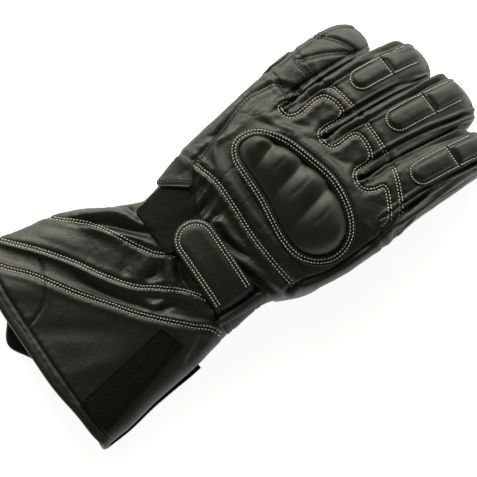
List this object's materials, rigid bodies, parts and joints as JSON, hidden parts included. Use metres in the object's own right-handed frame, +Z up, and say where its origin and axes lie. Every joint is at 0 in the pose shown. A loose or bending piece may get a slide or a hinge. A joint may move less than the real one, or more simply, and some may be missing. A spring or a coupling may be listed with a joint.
{
  "type": "gauntlet motorcycle glove",
  "caption": "Padded leather full-finger motorcycle glove for the left hand, palm down, with moulded knuckle guard, strapped wrist and wide flared cuff.",
  "frame": {"origin": "on the surface it lies on, under the middle of the glove's box", "axes": "+Y from the cuff towards the fingertips, +X towards the thumb side, +Z up out of the back of the hand"},
  "size_m": [0.1484, 0.3126, 0.0632],
  "materials": {
    "leather": "soft semi-matte black leather, finely grained",
    "guard_leather": "smooth black leather stretched over a moulded shell",
    "keeper_leather": "matte black leather",
    "loop_fabric": "matte black fuzzy hook-and-loop"
  },
  "bodies": {
    "root": {"cuff_front_panel": "leather", "cuff_bellows_panel": "leather", "cuff_middle_panel": "leather", "wrist_panel": "leather", "back_panel": "leather", "outer_side_panel": "leather", "finger_yoke": "leather", "cuff_palm_panel": "leather", "palm_panel": "leather", "hem_binding": "leather", "closure_flap": "leather", "little_finger": "leather", "ring_finger": "leather", "middle_finger": "leather", "index_finger": "leather", "ring_finger_back": "leather", "middle_finger_back": "leather", "index_finger_back": "leather", "ring_base_pad": "leather", "ring_tip_pad": "leather", "middle_base_pad": "leather", "middle_tip_pad": "leather", "index_base_pad": "leather", "index_tip_pad": "leather", "thumb": "leather", "knuckle_guard": "guard_leather", "guard_trim": "leather", "wrist_loop_patch": "loop_fabric", "strap_end_tab": "leather", "wrist_strap": "leather", "strap_keeper": "keeper_leather", "outer_side_pad": "leather", "cuff_loop_patch": "loop_fabric"}
  },
  "joints": []
}
